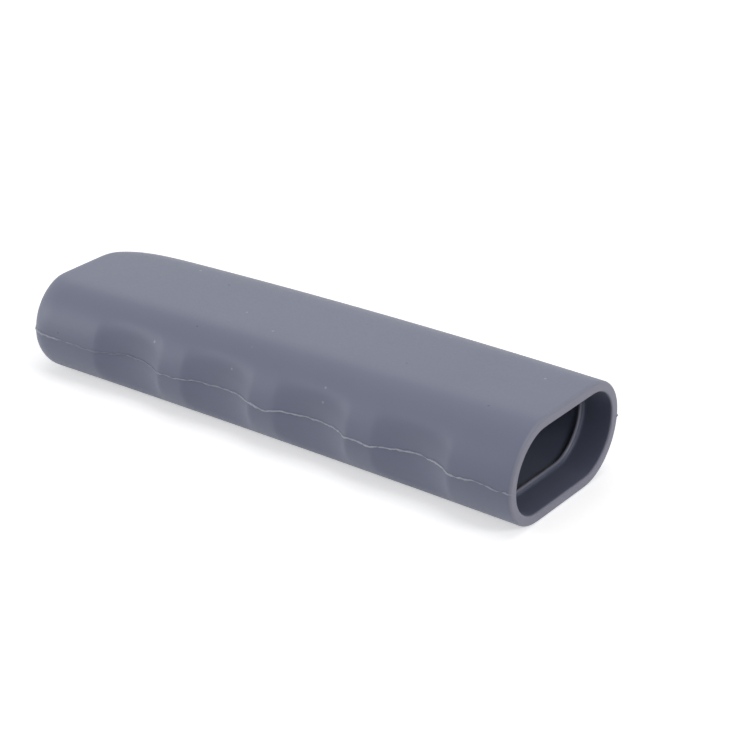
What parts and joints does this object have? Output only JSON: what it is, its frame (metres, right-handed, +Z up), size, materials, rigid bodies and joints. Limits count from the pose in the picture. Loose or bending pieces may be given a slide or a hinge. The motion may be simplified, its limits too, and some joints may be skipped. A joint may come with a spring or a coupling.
{
  "type": "door lever handle sleeve",
  "caption": "Push-on silicone sleeve for a door lever handle: flattened hollow tube, closed rounded end, finger scallops along one side, small bead inside the open mouth.",
  "frame": {"origin": "on the flat resting face, midway between the closed end and the mouth and midway across the mouth", "axes": "+X along the sleeve out of the open mouth, -Y is the side with the finger scallops, +Z up from the resting face"},
  "size_m": [0.122, 0.0366, 0.02],
  "materials": {
    "silicone": "satin moulded silicone, slate grey"
  },
  "bodies": {
    "root": {"sleeve": "silicone"}
  },
  "joints": []
}
